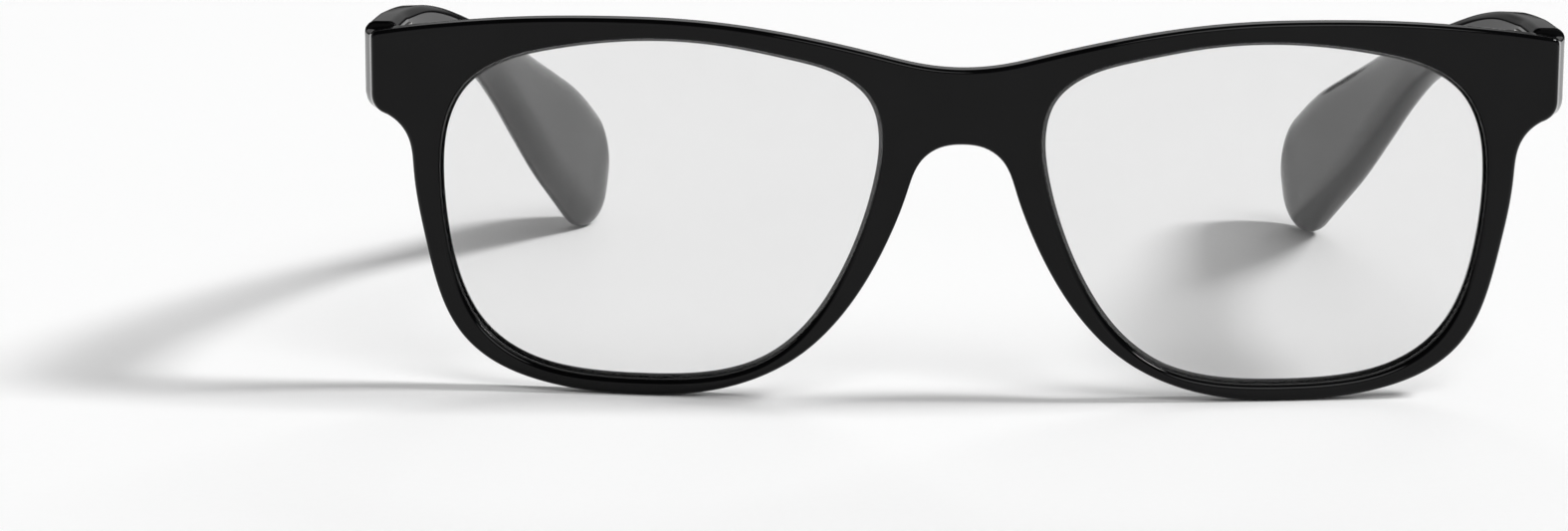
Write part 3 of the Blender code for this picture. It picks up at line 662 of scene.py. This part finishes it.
chamfer, lens_spacing, lens_clear = 0.0001, 0.0016, 0.0005
for side, word in ((1, "left"), (-1, "right")):
    lens_shape = bmesh.new()
    lens_known = {}
    edge = lens_curve * (side, 1)
    if side < 0:
        edge = edge[::-1]
    out = outward(edge)
    apex = lens_apex.copy()
    apex.x *= side
    axis = Vector((lens_axis.x * side, lens_axis.y, 0))
    level = Vector((lens_across.x, lens_across.y * side, 0))

    def on_lens(x, y, back):
        return apex + level * x + Vector((0, 0, y)) + axis * back

    def front_back(x, y):
        return sag(lens_front_radius, math.hypot(x, y))

    def rear_back(x, y):
        return lens_middle + sag(lens_back_radius, math.hypot(x, y))

    rows = []
    edges = []
    for grow, surface, deeper in (
        (groove_bite - chamfer, front_back, 0), (groove_bite, front_back, chamfer),
        (groove_bite, rear_back, -chamfer), (groove_bite - chamfer, rear_back, 0),
    ):
        grown_edge = edge + out * grow
        edges.append(grown_edge)
        rows.append([lens_shape.verts.new(on_lens(x, y, surface(x, y) + deeper)) for x, y in grown_edge])
    wall_rows(lens_shape, rows)
    for row, grown_edge, surface, radius, start, flip in (
        (rows[0], edges[0], front_back, lens_front_radius, 0, False),
        (rows[3], edges[3], rear_back, lens_back_radius, lens_middle, True),
    ):
        spots = even_spots((-0.028, -0.022), (0.028, 0.022), lens_spacing, [grown_edge], lens_clear)
        placed = sheet_between(
            lens_shape, [row], [grown_edge], [], spots, lambda x, y: on_lens(x, y, surface(x, y)), flip,
        )
        centre = apex + axis * (start + radius)
        for corner, _ in placed:
            lens_known[corner] = (centre - corner.co).normalized() * (1 if flip else -1)
    name = "resin_lens_" + word
    lens = shown(name, finished_mesh(lens_shape, name, lens_known, 30), clear_resin)
    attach(lens, "front")
    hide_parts("lens_" + word)
    # The lamps already light the table through the lens; met by the table's rays too, it would do so twice
    lens.visible_diffuse = False

# Two temples, moulded in the same black plastic, each with a flat steel core: straight and deep at the hinge,
# narrowing to a neck, then bent down and in behind the ear and widened to a flat, rounded tip. The hair and
# the hand dull their gloss a little.
handled_black = polished_black.copy()
handled_black.name = "handled_black"
handled_gloss = handled_black.node_tree.nodes["Principled BSDF"]
handled_gloss.inputs["Specular IOR Level"].default_value = 0.045
handled_black.node_tree.nodes["Bump"].inputs["Strength"].default_value = 0.006
temple_reach, temple_root, temple_neck, temple_tip = 0.1275, 0.0096, 0.0065, 0.0128
temple_inset, inset_power, straight_share, temple_round, tip_round = 0.0162, 1.25, 0.08, 0.0012, 0.0019
temple_shares = np.array((
    (0.0, 0.0, 0.0, 0.0), (0.09, -0.004, 0.02, 0.0), (0.18, 0.0, 0.16, 0.0), (0.26, 0.026, 0.42, 0.0),
    (0.345, 0.073, 0.68, 0.0), (0.43, 0.134, 0.89, 0.0), (0.51, 0.212, 0.99, 0.0), (0.595, 0.312, 1.0, 0.04),
    (0.677, 0.437, 1.0, 0.24), (0.76, 0.582, 1.0, 0.52), (0.842, 0.725, 1.0, 0.80), (0.925, 0.862, 1.0, 0.97),
    (1.0, 1.0, 1.0, 1.0),
))
tip_edge, tip_extra, tip_drop, tip_twist = 0.0034, 0.0016, 0.00085, math.radians(5)
cap_shy, root_soft, cap_thinning = 0.0002, 0.00025, 0.85
tip_radius = temple_tip / 2
path_reach, cap_reach = temple_reach - tip_radius, 1.35 * tip_radius
last_share = (temple_reach - cap_reach - cap_shy) / path_reach
outer_x = corner_x + end_flare


def eased(column, share):
    # A value from the side view's table, on a curve that passes smoothly through its rows
    shares, values = temple_shares[:, 0], temple_shares[:, column]
    slopes = np.gradient(values, shares)
    k = int(np.clip(np.searchsorted(shares, share, "right") - 1, 0, len(shares) - 2))
    span = shares[k + 1] - shares[k]
    t = (share - shares[k]) / span
    return (
        (1 + 2 * t) * (1 - t) ** 2 * values[k] + t * (1 - t) ** 2 * span * slopes[k]
        + t * t * (3 - 2 * t) * values[k + 1] + t * t * (t - 1) * span * slopes[k + 1]
    )


def temple_middle(share):
    # A place on the temple's middle line, as it runs back, bends down and leans in
    inset = temple_inset * (max(0, share - straight_share) / (1 - straight_share)) ** inset_power
    return Vector((
        outer_x - temple_thickness / 2 - inset, butt_y + temple_gap + share * path_reach,
        root_z - eased(1, share) * (root_z - tip_radius),
    ))


def rounded_ring(shape, place, up, thick, wide, radius, tall, twist, side):
    # One cross-section of a temple: flat inside and outside, with round edges above and below; the twist
    # leans its top inwards
    radius, tall = min(radius, thick / 2), min(tall, wide / 2)
    outwards = Vector((math.cos(twist), 0, 0)) + up * math.sin(twist)
    upwards = up * math.cos(twist) - Vector((math.sin(twist), 0, 0))
    ring = []
    steps = 8
    for corner in range(4):
        sx = 1 if corner in (0, 3) else -1
        sz = 1 if corner in (0, 1) else -1
        for k in range(steps + 1):
            turn = (corner + k / steps) * math.pi / 2
            p = place + outwards * (sx * (thick / 2 - radius) + radius * math.cos(turn))
            p += upwards * (sz * (wide / 2 - tall) + tall * math.sin(turn))
            ring.append(shape.verts.new((p.x * side, p.y, p.z)))
    return ring


for side, word in ((1, "left"), (-1, "right")):
    arm_shape = bmesh.new()
    rings = []
    stations = 150
    for k in range(stations + 1):
        share = last_share * k / stations
        place = temple_middle(share)
        run = temple_middle(min(1, share + 0.004)) - temple_middle(max(0, share - 0.004))
        run.x = 0
        run.normalize()
        up = Vector((0, -run.z, run.y))
        narrowing, widening = eased(2, share), eased(3, share)
        wide = temple_root + (temple_neck - temple_root) * narrowing + (temple_tip - temple_neck) * widening
        if k == 0:
            up = Vector((0, 0, 1))
            for j in range(4):
                turn = j / 4 * math.pi / 2
                shrink = root_soft * (1 - math.sin(turn))
                ahead_of = Vector((0, root_soft * (1 - math.cos(turn)), 0))
                rings.append(rounded_ring(
                    arm_shape, place + ahead_of, up, temple_thickness - 2 * shrink, wide - 2 * shrink,
                    temple_round - shrink, temple_round - shrink, 0, side,
                ))
            continue
        softness = temple_round + (tip_round - temple_round) * smooth_rise(share, 0.15, 0.65)
        tallness = temple_round + (tip_edge - temple_round) * smooth_rise(share, 0.15, 0.75)
        twist = tip_twist * widening
        place.x -= wide / 2 * math.sin(twist)
        place.z -= tip_drop * smooth_rise(share, 0.5, last_share)
        place += up * (tip_extra / 2 * widening)
        wide += tip_extra * widening
        rings.append(rounded_ring(
            arm_shape, place, up, temple_thickness, wide, softness, tallness, twist, side,
        ))
    along = Vector((0, up.z, -up.y))
    drift = (temple_middle(1).x - temple_middle(0.98).x) / (temple_middle(1).y - temple_middle(0.98).y)
    tip_steps = 16
    last_place, last_wide = place, wide
    for k in range(1, tip_steps + 1):
        turn = math.pi / 2 * k / (tip_steps + 0.35)
        place = last_place + along * (cap_reach * math.sin(turn))
        place.x += drift * cap_reach * math.sin(turn)
        thin = temple_thickness * (1 - cap_thinning * (1 - math.cos(turn)) ** 1.5)
        rings.append(rounded_ring(
            arm_shape, place, up, thin, last_wide * math.cos(turn), tip_round, tip_edge, twist, side,
        ))
    wall_rows(arm_shape, rings)
    arm_shape.faces.new(rings[0])
    arm_shape.faces.new(rings[-1])
    bmesh.ops.remove_doubles(arm_shape, verts=arm_shape.verts, dist=1e-6)
    name = "moulded_temple_" + word
    temple = shown(name, finished_mesh(arm_shape, name, {}, 40), handled_black)
    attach(temple, "temple_" + word)
    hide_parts("temple_" + word)

# Two hinges of five knuckles, stamped and rolled in steel and nickel plated. One leaf is pressed into the
# back of the end piece and the other into the inner side of the temple, and a slotted screw is the axle.
nickel = bpy.data.materials.new("satin_nickel")
nickel.use_nodes = True
nodes, links = nickel.node_tree.nodes, nickel.node_tree.links
metal = nodes["Principled BSDF"]
metal.inputs["Metallic"].default_value = 1
place = nodes.new("ShaderNodeTexCoord")
grain_way = nodes.new("ShaderNodeMapping")
grain_way.inputs["Scale"].default_value = (1, 1, 14)
grain = nodes.new("ShaderNodeTexNoise")
grain.inputs["Scale"].default_value = 1500
grain.inputs["Detail"].default_value = 5
plate = nodes.new("ShaderNodeValToRGB")
plate.color_ramp.elements[0].color = (0.48, 0.47, 0.45, 1)
plate.color_ramp.elements[1].color = (0.70, 0.69, 0.67, 1)
satin = nodes.new("ShaderNodeMapRange")
satin.inputs["To Min"].default_value = 0.20
satin.inputs["To Max"].default_value = 0.42
brushed = nodes.new("ShaderNodeBump")
brushed.inputs["Strength"].default_value = 0.25
brushed.inputs["Distance"].default_value = 0.00003
links.new(place.outputs["Object"], grain_way.inputs["Vector"])
links.new(grain_way.outputs["Vector"], grain.inputs["Vector"])
links.new(grain.outputs["Fac"], plate.inputs["Fac"])
links.new(plate.outputs["Color"], metal.inputs["Base Color"])
links.new(grain.outputs["Fac"], satin.inputs["Value"])
links.new(satin.outputs["Result"], metal.inputs["Roughness"])
links.new(grain.outputs["Fac"], brushed.inputs["Height"])
links.new(brushed.outputs["Normal"], metal.inputs["Normal"])

hinge_low, hinge_high = root_z - hinge_height / 2, root_z + hinge_height / 2
leaf_sunk, temple_leaf_length, leaf_soft = 0.0006, 0.0098, 0.00012
knuckle_soft, foot_depth, foot_start, foot_end = 0.00008, 0.0003, 0.0003, 0.0010
temple_leaf_face = temple_inner_x + leaf_sunk - leaf_thickness
temple_leaf_start = axis_y + knuckle_radius
temple_leaf_end = temple_leaf_start + temple_leaf_length
shank_radius, head_radius, head_foot, head_height = 0.0006, 0.0011, 0.00102, 0.0005
head_gap, head_round, head_break, screw_sides = 0.0002, 0.0002, 0.00008, 48
slot_length, slot_width, slot_tall, slot_depth = 0.004, 0.0003, 0.0006, 0.0002


def stamped(outline, low, high, soft):
    # A flat shape in plan, pulled up from low to high, with its edges broken
    shape = bmesh.new()
    bottom = [shape.verts.new((x, y, low)) for x, y in outline]
    face = shape.faces.new(bottom)
    pulled = bmesh.ops.extrude_face_region(shape, geom=[face])
    top = [item for item in pulled["geom"] if isinstance(item, bmesh.types.BMVert)]
    bmesh.ops.translate(shape, vec=(0, 0, high - low), verts=top)
    bmesh.ops.recalc_face_normals(shape, faces=shape.faces)
    sharp = [edge for edge in shape.edges if edge.calc_face_angle(0) > math.radians(35)]
    bmesh.ops.bevel(
        shape, geom=sharp, offset=soft, segments=3, profile=0.5, affect="EDGES", clamp_overlap=True,
    )
    return shape


def joined(shapes, side):
    # Several shapes as one, mirrored to the other side where asked
    whole = bmesh.new()
    for shape in shapes:
        spare = bpy.data.meshes.new("spare")
        shape.to_mesh(spare)
        shape.free()
        whole.from_mesh(spare)
        bpy.data.meshes.remove(spare)
    if side < 0:
        bmesh.ops.scale(whole, vec=(-1, 1, 1), verts=whole.verts)
        bmesh.ops.reverse_faces(whole, faces=whole.faces)
    return whole


def rolled_knuckle(foot_a, foot_b, turn_from, turn_to):
    # The knuckle's outline: most of a circle, then straight down to its foot in the leaf; the bore that the
    # screw runs through is not drawn
    outline = []
    steps = 40
    for k in range(steps + 1):
        turn = math.radians(turn_from + (turn_to - turn_from) * k / steps)
        outline.append((axis_x + knuckle_radius * math.cos(turn), axis_y + knuckle_radius * math.sin(turn)))
    return outline + [foot_b, foot_a]


for side, word in ((1, "left"), (-1, "right")):
    front_leaf_x = axis_x + knuckle_radius - front_leaf_length
    front_pieces = [stamped(
        [(front_leaf_x, leaf_y - leaf_thickness), (axis_x + knuckle_radius, leaf_y - leaf_thickness),
         (axis_x + knuckle_radius, leaf_y), (front_leaf_x, leaf_y)],
        hinge_low, hinge_high, leaf_soft,
    )]
    temple_pieces = [stamped(
        [(temple_leaf_face, temple_leaf_start), (temple_leaf_face + leaf_thickness, temple_leaf_start),
         (temple_leaf_face + leaf_thickness, temple_leaf_end), (temple_leaf_face, temple_leaf_end)],
        hinge_low, hinge_high, leaf_soft,
    )]
    for k in range(5):
        low = hinge_low + k * (knuckle_height + knuckle_gap)
        if k % 2 == 0:
            outline = rolled_knuckle(
                (axis_x + knuckle_radius * 0.75, leaf_y - foot_depth),
                (axis_x - knuckle_radius * 0.95, leaf_y - foot_depth), -40, 200,
            )
            front_pieces.append(stamped(outline, low, low + knuckle_height, knuckle_soft))
        else:
            outline = rolled_knuckle(
                (temple_leaf_face + foot_depth, temple_leaf_start + foot_end),
                (temple_leaf_face + foot_depth, axis_y + foot_start), 110, 370,
            )
            temple_pieces.append(stamped(outline, low, low + knuckle_height, knuckle_soft))
    for name, pieces, body, node in (
        ("pressed_front_leaf_", front_pieces, "front", "hinge_front_leaf_"),
        ("pressed_temple_leaf_", temple_pieces, "temple_" + word, "hinge_temple_leaf_"),
    ):
        leaf = shown(name + word, finished_mesh(joined(pieces, side), name + word, {}, 30), nickel)
        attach(leaf, body)
        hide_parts(node + word)

    screw_shape = bmesh.new()
    head_low = hinge_high + head_gap
    head_high = head_low + head_height
    profile = [
        (shank_radius, hinge_low), (shank_radius, head_low), (head_foot, head_low),
        (head_radius, head_low + head_break),
    ]
    for k in range(7):
        turn = k / 6 * math.pi / 2
        profile.append((
            head_radius - head_round * (1 - math.cos(turn)),
            head_high - head_round + head_round * math.sin(turn),
        ))
    rows = []
    for radius, z in profile:
        row = []
        for j in range(screw_sides):
            turn = math.tau * j / screw_sides
            row.append(screw_shape.verts.new((
                side * axis_x + radius * math.cos(turn), axis_y + radius * math.sin(turn), z,
            )))
        rows.append(row)
    wall_rows(screw_shape, rows)
    screw_shape.faces.new(rows[0])
    screw_shape.faces.new(rows[-1])
    bmesh.ops.recalc_face_normals(screw_shape, faces=screw_shape.faces)
    screw_mesh = bpy.data.meshes.new("slotted_screw_" + word)
    screw_shape.to_mesh(screw_mesh)
    screw_shape.free()
    screw = shown("slotted_screw_" + word, screw_mesh, nickel)
    slot_shape = bmesh.new()
    bmesh.ops.create_cube(slot_shape, size=1)
    bmesh.ops.scale(slot_shape, vec=(slot_length, slot_width, slot_tall), verts=slot_shape.verts)
    slot_middle = (side * axis_x, axis_y, head_high - slot_depth + slot_tall / 2)
    bmesh.ops.translate(slot_shape, vec=slot_middle, verts=slot_shape.verts)
    slot_mesh = bpy.data.meshes.new("slot")
    slot_shape.to_mesh(slot_mesh)
    slot_shape.free()
    saw = bpy.data.objects.new("saw", slot_mesh)
    bpy.context.scene.collection.objects.link(saw)
    cut = screw.modifiers.new("slot", "BOOLEAN")
    cut.operation = "DIFFERENCE"
    cut.solver = "EXACT"
    cut.object = saw
    bpy.context.view_layer.update()
    sawn = bpy.data.meshes.new_from_object(screw.evaluated_get(bpy.context.evaluated_depsgraph_get()))
    screw.modifiers.clear()
    screw.data = sawn
    bpy.data.objects.remove(saw, do_unlink=True)
    trimmed = bmesh.new()
    trimmed.from_mesh(sawn)
    bmesh.ops.dissolve_degenerate(trimmed, edges=trimmed.edges, dist=1e-6)
    trimmed.to_mesh(sawn)
    trimmed.free()
    sawn.shade_smooth()
    sawn.set_sharp_from_angle(angle=math.radians(30))
    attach(screw, "front")
    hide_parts("hinge_screw_" + word)

# Two core wires, flat drawn steel, pushed into the temples from the hinge end and wholly covered by plastic.
drawn_steel = nickel.copy()
drawn_steel.name = "drawn_steel"
drawn_steel.node_tree.nodes["Mapping"].inputs["Scale"].default_value = (20, 1, 20)
for word in ("left", "right"):
    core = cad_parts["temple_core_" + word]
    for held in core.material_slots:
        held.material = drawn_steel
